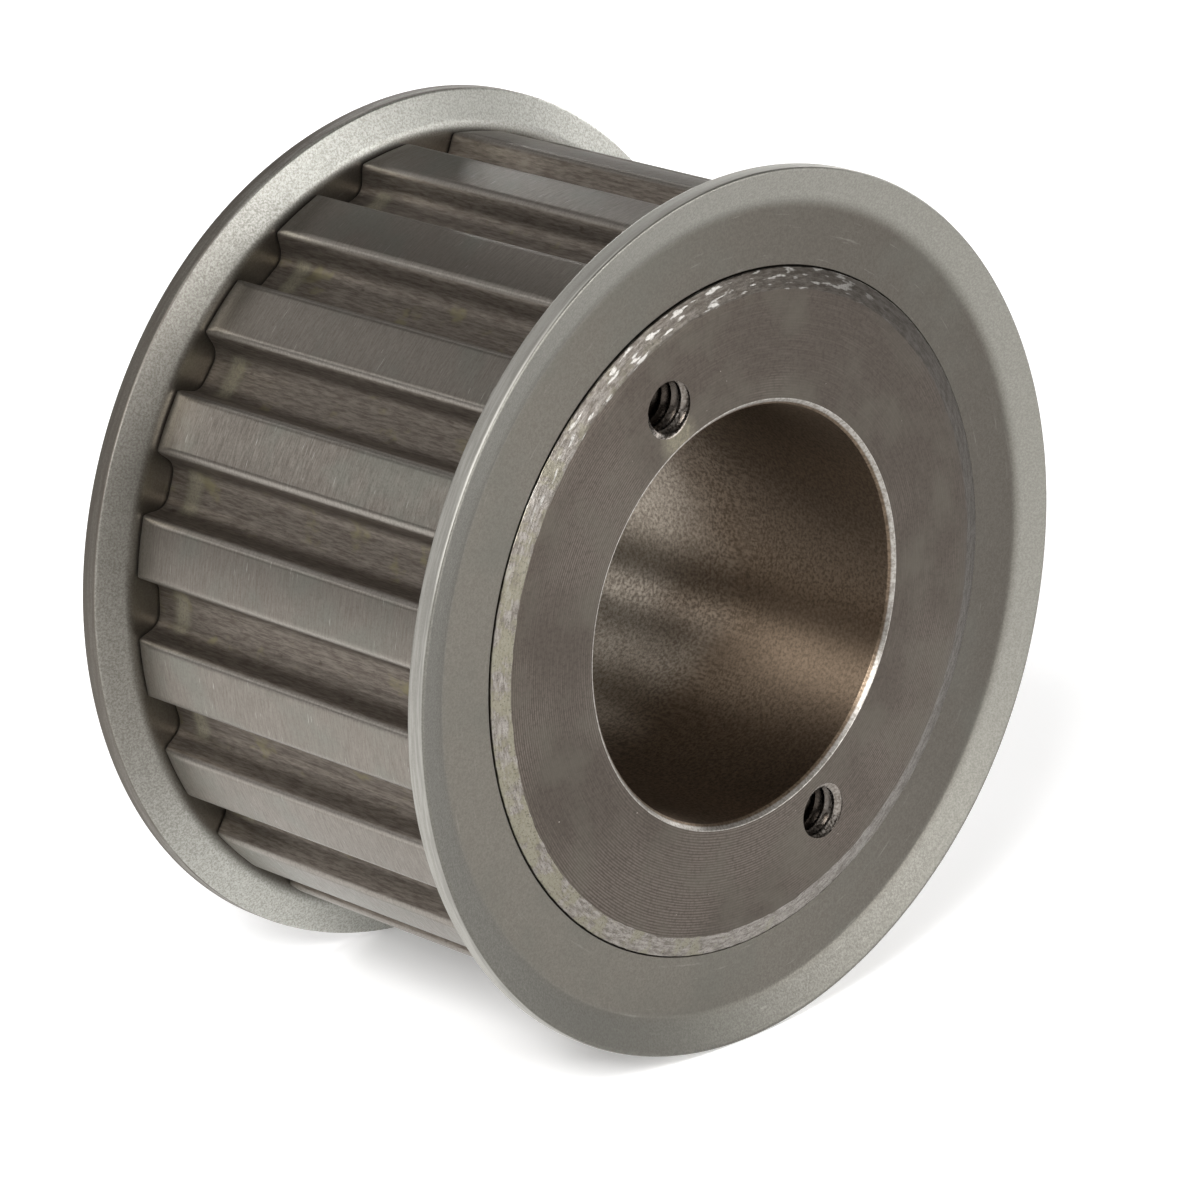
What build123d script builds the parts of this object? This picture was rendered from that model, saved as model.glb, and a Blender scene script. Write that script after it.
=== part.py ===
from build123d import *
import os
from math import pi, radians, tan

# Flanged timing belt pulley for a half-inch pitch trapezoidal belt, bored for a split-taper bushing.
# It is three pieces: a steel hub with the teeth cut in it, and two pressed steel flanges.
# Each flange sits on a step of the hub, and a lip of the hub is rolled outwards over it.
# Millimetres. The axis is Y, the origin is its middle, and the face with the two tapped holes is at -Y.

# Teeth and belt
TOOTH_COUNT = 20
BELT_PITCH = 12.7
PITCH_LINE_ABOVE_TIPS = 0.686
GROOVE_DEPTH = 3.05
GROOVE_FLOOR_WIDTH = 4.19
GROOVE_ANGLE = 40.0  # between the two flanks of a groove
GROOVE_ROOT_RADIUS = 1.6
TOOTH_TIP_RADIUS = 0.9
TOOTH_END_DROP = 0.3  # the tips roll down towards the flanges
TOOTH_END_LENGTH = 2.2
BELT_CHANNEL_WIDTH = 40.8  # from flange to flange

# Flanges
SHEET_THICKNESS = 1.9
RIM_ABOVE_TIPS = 3.9
FLARE_RUN = 3.75  # radial length of the rim, which bends away from the belt
FLARE_ANGLE = 20.5
BEND_RADIUS = 1.2  # on the hollow side
RIM_ROUNDING = 0.3
REGISTER_BELOW_FLOOR = 3.69  # the hub's step and the flange's hole, in from the floor of the grooves
COUNTERSINK = 1.0  # at 45 degrees, round the outer end of the flange's hole

# Rolled lip of the hub
FACE_ABOVE_FLANGE = 0.72  # the hub's end face, above the flat of the flange
LIP_SEAT = 0.7  # the stretch of the countersink that the lip fills
LIP_OVERHANG = 0.2  # out past the part of the countersink that it fills
LIP_SLOPE_RUN = 2.1
LIP_SLOPE_ANGLE = 15.0
LIP_ROUNDING = 0.12

# Tapered bore
MOUTH_RADIUS = 20.6375
TAPER = 1 / 32  # lost on the radius for each millimetre of depth
MOUTH_CHAMFER = 0.55
REAR_CHAMFER = 0.5

# Tapped holes for the bushing's screws
SCREW_COUNT = 2
SCREW_BEYOND_MOUTH = 4.7625  # from the wall of the bore's mouth out to the hole's axis
FIRST_SCREW_ANGLE = 115.0  # from +X towards +Z
THREAD_PITCH = 1.27
THREAD_MAJOR_RADIUS = 3.175
THREAD_HEIGHT = 0.625  # from the drilled wall out to the root
THREAD_FLANK_ANGLE = 60.0
THREAD_START_ANGLE = -90.0  # where the groove crosses the face, about the hole's own axis
THREAD_DEPTH = 19.0
DRILL_DEPTH = 24.0
DRILL_POINT_ANGLE = 118.0

THREAD_GROOVE_FLAT = THREAD_PITCH / 8  # the width left at the bottom of the thread's groove
THREAD_INTO_DRILL = 0.127  # how far the thread's cutter reaches inside the drilled wall

CUT_PAST = 1.0  # how far a cutting body runs past the surface it cuts

# Worked out from the sizes above
TIP_RADIUS = TOOTH_COUNT * BELT_PITCH / (2 * pi) - PITCH_LINE_ABOVE_TIPS
GROOVE_FLOOR_RADIUS = TIP_RADIUS - GROOVE_DEPTH
REGISTER_RADIUS = GROOVE_FLOOR_RADIUS - REGISTER_BELOW_FLOOR
RIM_RADIUS = TIP_RADIUS + RIM_ABOVE_TIPS
CHANNEL_HALF = BELT_CHANNEL_WIDTH / 2
FLANGE_FLAT = CHANNEL_HALF + SHEET_THICKNESS
SEAT_START = FLANGE_FLAT - COUNTERSINK
HUB_HALF = FLANGE_FLAT + FACE_ABOVE_FLANGE
SCREW_CIRCLE_RADIUS = MOUTH_RADIUS + SCREW_BEYOND_MOUTH
THREAD_MINOR_RADIUS = THREAD_MAJOR_RADIUS - THREAD_HEIGHT


def slope(run, angle):
    """The rise of a line that leaves the level at this angle, in degrees, over this run."""
    return run * tan(radians(angle))


def turned(corners, roundings):
    """A solid turned about Y, from corners at (radius, place along Y), each with its rounding."""
    outline = FilletPolyline(corners, radius=roundings, close=True)
    return revolve(make_face(outline), axis=Axis.Y)


def flange(side):
    """A flat ring of sheet with its rim bent away from the belt. side is -1 at the front, +1 at the rear."""
    outer_bend = RIM_RADIUS - FLARE_RUN
    inner_bend = outer_bend + slope(SHEET_THICKNESS, FLARE_ANGLE / 2)
    rim_inside = CHANNEL_HALF + slope(RIM_RADIUS - inner_bend, FLARE_ANGLE)
    rim_outside = FLANGE_FLAT + slope(FLARE_RUN, FLARE_ANGLE)
    section = [
        (REGISTER_RADIUS, CHANNEL_HALF, 0),
        (inner_bend, CHANNEL_HALF, BEND_RADIUS + SHEET_THICKNESS),
        (RIM_RADIUS, rim_inside, RIM_ROUNDING),
        (RIM_RADIUS, rim_outside, RIM_ROUNDING),
        (outer_bend, FLANGE_FLAT, BEND_RADIUS),
        (REGISTER_RADIUS + COUNTERSINK, FLANGE_FLAT, 0),
        (REGISTER_RADIUS, SEAT_START, 0),
    ]
    corners = [(radius, side * place) for radius, place, rounding in section]
    return turned(corners, [rounding for radius, place, rounding in section])


def hub_end():
    """Half of the hub's turned outline, from the mouth of the bore out to the end of the teeth."""
    lip_edge = REGISTER_RADIUS + LIP_SEAT + LIP_OVERHANG
    return [
        (lip_edge - LIP_SLOPE_RUN, HUB_HALF, 0),
        (lip_edge, HUB_HALF - slope(LIP_SLOPE_RUN, LIP_SLOPE_ANGLE), LIP_ROUNDING),
        (REGISTER_RADIUS + LIP_SEAT, SEAT_START + LIP_SEAT, 0),
        (REGISTER_RADIUS, SEAT_START, 0),
        (REGISTER_RADIUS, CHANNEL_HALF, 0),
        (TIP_RADIUS, CHANNEL_HALF, 0),
    ]


def blank():
    """The hub as turned, before the teeth and the bore: both ends alike."""
    rear = hub_end()
    front = [(radius, -place, rounding) for radius, place, rounding in reversed(rear)]
    section = [(0, HUB_HALF, 0)] + rear + front + [(0, -HUB_HALF, 0)]
    corners = [(radius, place) for radius, place, rounding in section]
    return turned(corners, [rounding for radius, place, rounding in section])


def tooth_envelope():
    """A turned body whose rim rolls down at the two ends of the teeth, in an arc that is tangent to the tips."""
    level = CHANNEL_HALF - TOOTH_END_LENGTH
    low = TIP_RADIUS - TOOTH_END_DROP
    rear_arc = TangentArc((TIP_RADIUS, level), (low, CHANNEL_HALF), tangent=(0, 1))
    front_arc = TangentArc((TIP_RADIUS, -level), (low, -CHANNEL_HALF), tangent=(0, -1))
    tips = Line((TIP_RADIUS, -level), (TIP_RADIUS, level))
    rest = Polyline(
        (low, CHANNEL_HALF),
        (low, HUB_HALF),
        (0, HUB_HALF),
        (0, -HUB_HALF),
        (low, -HUB_HALF),
        (low, -CHANNEL_HALF),
    )
    return revolve(make_face(Curve() + [tips, rear_arc, rest, front_arc]), axis=Axis.Y)


def toothed_disc():
    """The end view of the teeth: a disc with trapezoid grooves, rounded at the tips and at the roots."""
    groove_top = GROOVE_DEPTH + CUT_PAST
    top_half = GROOVE_FLOOR_WIDTH / 2 + slope(groove_top, GROOVE_ANGLE / 2)
    floor_half = GROOVE_FLOOR_WIDTH / 2
    groove = make_face(
        Polyline(
            (GROOVE_FLOOR_RADIUS, -floor_half),
            (GROOVE_FLOOR_RADIUS + groove_top, -top_half),
            (GROOVE_FLOOR_RADIUS + groove_top, top_half),
            (GROOVE_FLOOR_RADIUS, floor_half),
            close=True,
        )
    )
    disc = Circle(TIP_RADIUS) - PolarLocations(0, TOOTH_COUNT) * groove
    middle = (TIP_RADIUS + GROOVE_FLOOR_RADIUS) / 2
    roots = disc.vertices().filter_by(lambda corner: corner.center().length < middle)
    disc = fillet(roots, GROOVE_ROOT_RADIUS)
    tips = disc.vertices().filter_by(lambda corner: corner.center().length > middle)
    return fillet(tips, TOOTH_TIP_RADIUS)


def bore():
    """The tapered hole with a chamfer at each end, as a turned body that runs past both faces."""
    mouth_inside = MOUTH_RADIUS - TAPER * MOUTH_CHAMFER
    rear_radius = MOUTH_RADIUS - TAPER * 2 * HUB_HALF
    rear_inside = rear_radius + TAPER * REAR_CHAMFER
    corners = [
        (0, -HUB_HALF - CUT_PAST),
        (mouth_inside + MOUTH_CHAMFER + CUT_PAST, -HUB_HALF - CUT_PAST),
        (mouth_inside, -HUB_HALF + MOUTH_CHAMFER),
        (rear_inside, HUB_HALF - REAR_CHAMFER),
        (rear_inside + REAR_CHAMFER + CUT_PAST, HUB_HALF + CUT_PAST),
        (0, HUB_HALF + CUT_PAST),
    ]
    return turned(corners, 0)


def tapped_hole():
    """The body that one threaded hole takes away: mouth at the origin, running along +Z."""
    past = THREAD_PITCH
    point_length = THREAD_MINOR_RADIUS / tan(radians(DRILL_POINT_ANGLE / 2))
    drill = make_face(
        Polyline(
            (0, -past),
            (THREAD_MINOR_RADIUS, -past),
            (THREAD_MINOR_RADIUS, DRILL_DEPTH),
            (0, DRILL_DEPTH + point_length),
            close=True,
        )
    )
    drilled = revolve(Plane.XZ * drill, axis=Axis.Z)
    inside = THREAD_MINOR_RADIUS - THREAD_INTO_DRILL
    mouth_half = THREAD_GROOVE_FLAT / 2 + slope(THREAD_MAJOR_RADIUS - inside, THREAD_FLANK_ANGLE / 2)
    path = Helix(THREAD_PITCH, THREAD_DEPTH + past, THREAD_MINOR_RADIUS, center=(0, 0, -past))
    tooth = make_face(
        Polyline(
            (inside, -mouth_half - past),
            (THREAD_MAJOR_RADIUS, -THREAD_GROOVE_FLAT / 2 - past),
            (THREAD_MAJOR_RADIUS, THREAD_GROOVE_FLAT / 2 - past),
            (inside, mouth_half - past),
            close=True,
        )
    )
    thread = sweep(Plane.XZ * tooth, path=path, is_frenet=True)
    return Rot(0, 0, THREAD_START_ANGLE) * (drilled + thread)


def toothed_hub():
    hub = blank() & tooth_envelope()
    hub &= extrude(Plane.XZ * toothed_disc(), HUB_HALF, both=True)
    hub -= bore()
    face = Plane(origin=(0, -HUB_HALF, 0), x_dir=(1, 0, 0), z_dir=(0, 1, 0))
    hole = tapped_hole()
    for spot in PolarLocations(SCREW_CIRCLE_RADIUS, SCREW_COUNT, -FIRST_SCREW_ANGLE):
        hub -= face * spot * hole
    return hub


pieces = {
    "toothed_hub": toothed_hub(),
    "front_flange": flange(-1),
    "rear_flange": flange(1),
}
os.makedirs("parts", exist_ok=True)
for name, piece in pieces.items():
    piece.label = name
    export_step(piece, f"parts/{name}.step")
    print(name, "volume", round(piece.volume), "mm3")
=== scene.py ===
# %% [markdown]
# # A flanged timing belt pulley
#
# The pulley is three pieces of steel: a hub with twenty teeth cut in it, and two pressed sheet flanges.
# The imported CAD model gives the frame: where each piece is and how large it is. This script works in the
# same place and the same units, and replaces each plain CAD node with a finer surface and a real finish.
# The axis of the pulley is Y, and the face with the two tapped holes looks along -Y.

import math

import bmesh
import bpy
import numpy as np
from mathutils import Matrix, Vector


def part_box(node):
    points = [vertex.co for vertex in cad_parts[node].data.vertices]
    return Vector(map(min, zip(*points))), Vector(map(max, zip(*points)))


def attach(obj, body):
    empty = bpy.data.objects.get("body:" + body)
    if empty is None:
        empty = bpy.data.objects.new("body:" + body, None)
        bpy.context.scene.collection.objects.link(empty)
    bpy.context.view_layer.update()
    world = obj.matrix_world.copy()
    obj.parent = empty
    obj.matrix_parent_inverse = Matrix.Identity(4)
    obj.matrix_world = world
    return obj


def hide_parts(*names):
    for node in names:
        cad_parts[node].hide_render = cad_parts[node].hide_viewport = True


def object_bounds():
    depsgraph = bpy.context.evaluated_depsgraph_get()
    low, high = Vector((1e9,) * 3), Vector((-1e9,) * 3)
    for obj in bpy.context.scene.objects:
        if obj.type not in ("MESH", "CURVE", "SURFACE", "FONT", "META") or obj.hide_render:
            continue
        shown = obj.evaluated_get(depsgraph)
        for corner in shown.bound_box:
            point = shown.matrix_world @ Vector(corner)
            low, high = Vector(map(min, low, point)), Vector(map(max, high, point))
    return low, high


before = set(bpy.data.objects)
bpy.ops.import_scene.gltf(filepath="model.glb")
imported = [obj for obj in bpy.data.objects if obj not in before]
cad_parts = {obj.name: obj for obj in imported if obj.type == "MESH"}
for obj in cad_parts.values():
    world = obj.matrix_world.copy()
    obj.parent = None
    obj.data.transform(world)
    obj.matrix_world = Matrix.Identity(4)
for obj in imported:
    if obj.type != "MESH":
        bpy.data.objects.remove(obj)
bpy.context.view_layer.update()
print("CAD nodes:", sorted(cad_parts))

# %% [markdown]
# ## Sizes
#
# A maker's drawing of a pulley is in millimetres, so the shapes below are too, and `MM` turns them into
# metres when a mesh is made. The widths and the rim come from the boxes of the CAD nodes. The others are
# the drawing's own: the groove of a half-inch pitch belt, the gauge of the sheet, the taper of the bore.

# %% Sizes in millimetres
MM = 0.001
flange_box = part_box("front_flange")
hub_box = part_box("toothed_hub")
RIM = flange_box[1].z / MM
CHANNEL = -flange_box[1].y / MM  # half the gap between the flanges
FACE = hub_box[1].y / MM  # half the hub, from end face to end face
TEETH = 20
RIM_OVER_TIPS = 3.9
GROOVE_DEPTH = 3.05
STEP_UNDER_FLOOR = 3.69
TIP = RIM - RIM_OVER_TIPS
GROOVE_FLOOR = TIP - GROOVE_DEPTH
REGISTER = GROOVE_FLOOR - STEP_UNDER_FLOOR  # the step that the flange sits on
SHEET = 1.9
FLAT = CHANNEL + SHEET  # the flat of the flange
COUNTERSINK = 1.0
print(f"rim {RIM:.3f}, tips {TIP:.3f}, groove floor {GROOVE_FLOOR:.3f} mm")
print(f"half the channel {CHANNEL:.2f}, half the hub {FACE:.2f} mm")

# %% [markdown]
# ## Surfaces as arrays
#
# Each surface is a grid of points: rows along one parameter, columns along another. Working out whole
# arrays at once keeps the formulas readable, and the same few helpers then serve every piece. A piece is
# a list of such patches whose edges meet point for point. Merging the doubles makes it one closed skin,
# and its faces are then turned outwards.

# %% Helpers for grids
STEPS_ROUND = 720  # columns round the pulley, 36 to a tooth
TURN = 2 * np.pi
MERGE = 0.002  # points this close are one point


def around(radius, place, angle):
    """Points at a radius, a place along Y and an angle from +X towards +Z: (r cos a, y, r sin a)."""
    radius, place, angle = np.broadcast_arrays(radius, place, angle)
    return np.stack([radius * np.cos(angle), place, radius * np.sin(angle)], axis=-1)


def quads_of(rows, columns):
    """The corners of every square of a grid whose points are numbered row by row."""
    number = np.arange(rows * columns).reshape(rows, columns)
    corners = [number[:-1, :-1], number[:-1, 1:], number[1:, 1:], number[1:, :-1]]
    return np.stack(corners, axis=-1).reshape(-1, 4)


def closed(grid):
    """The grid with its first column repeated at the end, so that it joins up."""
    return np.concatenate([grid, grid[:, :1]], axis=1)


def make_piece(name, patches, finishes, sharp_angle):
    """One closed mesh from patches of (grid in mm, number of its finish)."""
    points, quads, slots = [], [], []
    count = 0
    for grid, slot in patches:
        rows, columns = grid.shape[:2]
        points.append(grid.reshape(-1, 3) * MM)
        quads.append(quads_of(rows, columns) + count)
        slots.append(np.full((rows - 1) * (columns - 1), slot))
        count += rows * columns
    mesh = bpy.data.meshes.new(name)
    mesh.from_pydata(np.concatenate(points).tolist(), [], np.concatenate(quads).tolist())
    mesh.polygons.foreach_set("material_index", np.concatenate(slots))
    skin = bmesh.new()
    skin.from_mesh(mesh)
    bmesh.ops.remove_doubles(skin, verts=skin.verts, dist=MERGE * MM)
    bmesh.ops.recalc_face_normals(skin, faces=skin.faces)
    open_edges = sum(not edge.is_manifold for edge in skin.edges)
    skin.to_mesh(mesh)
    skin.free()
    mesh.shade_smooth()
    mesh.set_sharp_from_angle(angle=math.radians(sharp_angle))
    piece = bpy.data.objects.new(name, mesh)
    bpy.context.scene.collection.objects.link(piece)
    for finish in finishes:
        mesh.materials.append(finish)
    mesh.calc_loop_triangles()
    print(f"{name}: {len(mesh.loop_triangles)} triangles, {open_edges} open edges")
    return piece


# %% [markdown]
# ## Outlines
#
# A turned piece is an outline carried round the axis. Its corners are never quite sharp: a tool or a
# press leaves a small radius, and that radius is what catches the light. Each corner becomes an arc,
# and one guard point on each side of the arc keeps the flats flat when Blender smooths the shading.

# %% Rounded outline
GUARD = 0.06  # how far a guard point stands from its arc
WAVES = 14


def rounded(corners, steps=6):
    """Corners of (radius, place, rounding) as outline points. An arc of rounding R leaves each run at
    R * tan(turn / 2) from the corner, and its centre lies on the line that halves the corner."""
    outline = []
    for here in range(len(corners)):
        before = np.array(corners[here - 1][:2])
        corner = np.array(corners[here][:2])
        after = np.array(corners[(here + 1) % len(corners)][:2])
        size = corners[here][2]
        if size == 0:
            outline.append(corner[None])
            continue
        back = (before - corner) / np.linalg.norm(before - corner)
        ahead = (after - corner) / np.linalg.norm(after - corner)
        half = np.arccos(np.clip(back @ ahead, -1, 1)) / 2
        middle = (back + ahead) / np.linalg.norm(back + ahead)
        centre = corner + middle * size / np.sin(half)
        start = corner + back * size / np.tan(half)
        end = corner + ahead * size / np.tan(half)
        swing = np.linspace(0, 1, steps + 1)[:, None]
        turn = np.pi - 2 * half
        from_start = np.sin((1 - swing) * turn) * (start - centre)
        to_end = np.sin(swing * turn) * (end - centre)
        arc = (from_start + to_end) / np.sin(turn)
        outline += [(start + back * GUARD)[None], centre + arc, (end + ahead * GUARD)[None]]
    return np.concatenate(outline)


def wave(angle, seed, size, turns):
    """A closed random wave round the pulley: fourteen sines, each a whole number of waves long, with
    seeded phases. Dividing by the root of half their number makes the size the wave's usual height."""
    rng = np.random.default_rng(seed)
    counts = rng.integers(turns[0], turns[1], WAVES)
    phases = rng.uniform(0, TURN, WAVES)
    heights = rng.normal(0, 1, WAVES)
    total = (heights * np.sin(np.asarray(angle)[..., None] * counts + phases)).sum(-1)
    return size * total / np.sqrt(WAVES / 2)


ROUND = np.arange(STEPS_ROUND) * TURN / STEPS_ROUND
print("a wave of 1 mm reaches", round(float(np.abs(wave(ROUND, 1, 1.0, (3, 40))).max()), 2), "mm")

# %% [markdown]
# ## The teeth
#
# On the real hub the grooves are hobbed: a cutter rolls past the blank and leaves straight flanks, a
# rounded root and a rounded tip. One pitch seen from the end is therefore a short profile: half of it is
# worked out, and the other half is its mirror image.

# %% Tooth profile
ROOT_ROUNDING = 1.6
TIP_ROUNDING = 0.9
HALF_FLOOR = 4.19 / 2  # half the width of a groove's floor
FLANK = np.radians(20)  # from the radial direction
FILLET_STEPS = 5


def groove_profile():
    """Half a pitch, from the middle of a groove to the middle of a tooth, as points (out, across).
    The flank leaves the floor's corner at 20 degrees. The tip arc touches the flank and the tip circle,
    so its centre is TIP - rounding from the axis and one rounding inside the flank."""
    along = np.array([np.cos(FLANK), np.sin(FLANK)])
    inward = np.array([-np.sin(FLANK), np.cos(FLANK)])
    corner = np.array([GROOVE_FLOOR, HALF_FLOOR])
    reach = ROOT_ROUNDING * np.tan((np.pi / 2 - FLANK) / 2)
    root_centre = corner + [ROOT_ROUNDING, -reach]
    root = np.linspace(np.pi, np.pi / 2 + FLANK, FILLET_STEPS + 1)
    root = root_centre + ROOT_ROUNDING * np.stack([np.cos(root), np.sin(root)], axis=1)
    base = corner + TIP_ROUNDING * inward
    lift = -(base @ along) + np.sqrt((base @ along) ** 2 + (TIP - TIP_ROUNDING) ** 2 - base @ base)
    tip_centre = base + lift * along
    start = np.arctan2(-inward[1], -inward[0])
    end = np.arctan2(tip_centre[1], tip_centre[0])
    tip = np.linspace(start, end, FILLET_STEPS + 1)
    tip = tip_centre + TIP_ROUNDING * np.stack([np.cos(tip), np.sin(tip)], axis=1)
    floor = np.array([[GROOVE_FLOOR, 0], [GROOVE_FLOOR, root[0, 1] - 2 * GUARD]])
    flank = np.array([root[-1] + 2 * GUARD * along, tip[0] - 2 * GUARD * along])
    land_start = np.arctan2(tip[-1, 1], tip[-1, 0]) + GUARD / TIP
    land_end = np.pi / TEETH
    land_angle = np.array([land_start, (land_start + land_end) / 2, land_end])
    land = TIP * np.stack([np.cos(land_angle), np.sin(land_angle)], axis=1)
    return np.concatenate([floor, root, flank, tip, land])


half = groove_profile()
half_angle = np.arctan2(half[:, 1], half[:, 0])
half_radius = np.hypot(half[:, 0], half[:, 1])
pitch_angle = np.concatenate([half_angle[:-1], 2 * np.pi / TEETH - half_angle[:0:-1]])
pitch_radius = np.concatenate([half_radius[:-1], half_radius[:0:-1]])
rim_angle = (pitch_angle + TURN / TEETH * np.arange(TEETH)[:, None]).ravel()
rim_radius = np.tile(pitch_radius, TEETH)
print(f"{len(pitch_angle)} points to a pitch, {len(rim_angle)} round the rim")
assert len(rim_angle) == STEPS_ROUND

# %% [markdown]
# ## The rim
#
# The whole rim is the profile repeated twenty times and carried along the axis. Near each flange the tips
# roll down in a large arc, and the last third of a millimetre is a broken edge, so that a fine dark line
# shows where tooth and flange meet. Moving whole rows of points does both, with no boolean cut.

# %% Toothed rim
END_DROP = 0.3
END_LENGTH = 2.2
EDGE_BREAK = 0.35


def rim_rows():
    """The places along the axis of the rim's rows, close together where the surface bends."""
    level = CHANNEL - END_LENGTH
    near_end = level + (END_LENGTH - EDGE_BREAK) * np.linspace(0, 1, 6)
    edge = CHANNEL - EDGE_BREAK * (1 - np.sin(np.linspace(0.2, 1, 6) * np.pi / 2))
    half_rows = np.concatenate([[0, level / 3, level * 2 / 3, level - 0.15], near_end, edge])
    return np.concatenate([-half_rows[:0:-1], half_rows])


def toothed_rim():
    """Rows along Y of the end profile. The tips follow an arc of radius (L^2 + d^2) / 2d that drops d
    over the length L, and the last rows move in along the profile's normal by a quarter circle."""
    place = rim_rows()[:, None]
    arc = (END_LENGTH**2 + END_DROP**2) / (2 * END_DROP)
    past_level = np.clip(np.abs(place) - (CHANNEL - END_LENGTH), 0, None)
    envelope = TIP - arc + np.sqrt(arc**2 - past_level**2)
    radius = np.minimum(rim_radius, envelope)
    flat = radius[..., None] * np.stack([np.cos(rim_angle), np.sin(rim_angle)], axis=-1)
    tangent = np.roll(flat, -1, axis=1) - np.roll(flat, 1, axis=1)
    normal = np.stack([tangent[..., 1], -tangent[..., 0]], axis=-1)
    normal /= np.linalg.norm(normal, axis=-1, keepdims=True)
    into_edge = np.clip((np.abs(place) - (CHANNEL - EDGE_BREAK)) / EDGE_BREAK, 0, 1)[..., None]
    flat = flat - normal * EDGE_BREAK * (1 - np.sqrt(1 - into_edge**2))
    grid = np.stack([flat[..., 0], np.broadcast_to(place, radius.shape), flat[..., 1]], axis=-1)
    return grid


rim = toothed_rim()
rim_reach = float(np.hypot(rim[..., 0], rim[..., 2]).max())
print(f"toothed rim: {rim.shape[0]} rows, {rim_reach:.3f} mm radius")

# %% [markdown]
# ## The hub's ends
#
# Past the teeth the hub steps in, and the flange sits on that step. Its lip is then rolled out over the
# flange: cold metal pushed by a hardened roller, which leaves a bright sloping band with nicks and an
# uneven inner edge. The band is turned from a short outline, and seeded waves make it uneven.

# %% Rolled lip
LIP_SEAT = 0.7
LIP_OVERHANG = 0.2
LIP_RUN = 2.1
LIP_SLOPE = np.radians(15)
LIP_ROUNDING = 0.12
LIP_BLEND = 0.4  # the width of the lip's outer edge, which has its own waves
SLOPE_ROWS = 6


def hub_end(side):
    """The grid from the ends of the teeth in to the face. The lip's waves move its edges by about a
    tenth of a millimetre and its height by a few hundredths."""
    edge = REGISTER + LIP_SEAT + LIP_OVERHANG
    drop = LIP_RUN * np.tan(LIP_SLOPE)
    corners = [
        (REGISTER, CHANNEL, 0),
        (REGISTER, FLAT - COUNTERSINK, 0),
        (REGISTER + LIP_SEAT, FLAT - COUNTERSINK + LIP_SEAT, 0),
        (edge, FACE - drop, LIP_ROUNDING),
        (edge - LIP_RUN, FACE, 0),
    ]
    outline = rounded(corners, 4)
    share = np.linspace(0, 1, SLOPE_ROWS + 1)[1:-1, None]
    slope_rows = outline[-2] * (1 - share) + outline[-1] * share
    outline = np.concatenate([outline[:-1], slope_rows, outline[-1:]])
    radius = outline[:, :1] + np.zeros(STEPS_ROUND)
    place = outline[:, 1:] + np.zeros(STEPS_ROUND)
    inner = np.clip((edge - LIP_BLEND - outline[:, :1]) / (LIP_RUN - LIP_BLEND), 0, 1)
    past_seat = outline[:, 1:] > FLAT - COUNTERSINK + LIP_SEAT
    outer = np.clip((outline[:, :1] - edge + LIP_BLEND) / LIP_BLEND, 0, 1) * past_seat
    inner_wave = wave(ROUND, 11 + side, 0.05, (4, 26)) + wave(ROUND, 21 + side, 0.018, (40, 130))
    radius = radius + inner * inner_wave
    radius = radius - outer * np.abs(wave(ROUND, 31 + side, 0.03, (20, 120)))
    middle = 4 * inner * (1 - inner)
    rows = np.arange(len(outline))[:, None]
    dents = wave(ROUND + 0.02 * rows, 41 + side, 0.012, (30, 160))
    place = place + middle * dents - outer * np.abs(wave(ROUND, 51 + side, 0.02, (30, 150)))
    lip = around(radius, side * place, ROUND)
    share = np.linspace(0, 1, 4)[:, None, None]
    teeth_end = rim[0 if side < 0 else -1]
    step = teeth_end * (1 - share) + lip[0] * share
    return step, lip


front_step, front_lip = hub_end(-1)
rear_step, rear_lip = hub_end(1)
print("front lip rows:", front_lip.shape[0])

# %% [markdown]
# ## The bore
#
# The bore is a shallow taper that grips a split bushing: it loses one millimetre of radius in
# thirty-two of depth. Both mouths have a small chamfer. It is a plain turned outline, so it is rounded
# and carried round the axis as the lip is, with long runs cut into shorter ones.

# %% Tapered bore
MOUTH = 20.6375
TAPER = 1 / 32
MOUTH_CHAMFER = 0.55
REAR_CHAMFER = 0.5
MARGIN = 0.3  # of flat face that the outline takes with it at each end


def divided(outline, longest):
    """The outline with each run cut into equal parts no longer than this."""
    parts = [outline[:1]]
    for start, end in zip(outline[:-1], outline[1:]):
        count = math.ceil(np.linalg.norm(end - start) / longest)
        parts.append(start + (end - start) * np.arange(1, count + 1)[:, None] / count)
    return np.concatenate(parts)


def bore_grid():
    """The radius falls with depth: r = mouth - taper * (y + face)."""
    mouth = MOUTH - TAPER * MOUTH_CHAMFER
    rear = MOUTH - TAPER * (2 * FACE - REAR_CHAMFER)
    corners = [
        (mouth + MOUTH_CHAMFER + MARGIN, -FACE, 0),
        (mouth + MOUTH_CHAMFER, -FACE, 0.08),
        (mouth, MOUTH_CHAMFER - FACE, 0.12),
        (rear, FACE - REAR_CHAMFER, 0.12),
        (rear + REAR_CHAMFER, FACE, 0.08),
        (rear + REAR_CHAMFER + MARGIN, FACE, 0),
    ]
    outline = divided(rounded(corners, 3), 12.0)
    return around(outline[:, :1], outline[:, 1:], ROUND)


bore = bore_grid()
bore_mouth = float(np.hypot(bore[0, 0, 0], bore[0, 0, 2]))
print(f"bore: {len(bore)} rows, its flat margin starts at radius {bore_mouth:.3f} mm")

# %% [markdown]
# ## The tapped holes
#
# Two holes in the front face take the bushing's jacking screws. A thread is a profile wound down a
# cylinder, so its grid is wound too: each row of points climbs one pitch as it goes once round, and its
# end meets the start of the row one pitch further on. Rows that would stand above the face are pressed
# flat onto it, which cuts the thread off exactly as facing the hub does.

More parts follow.
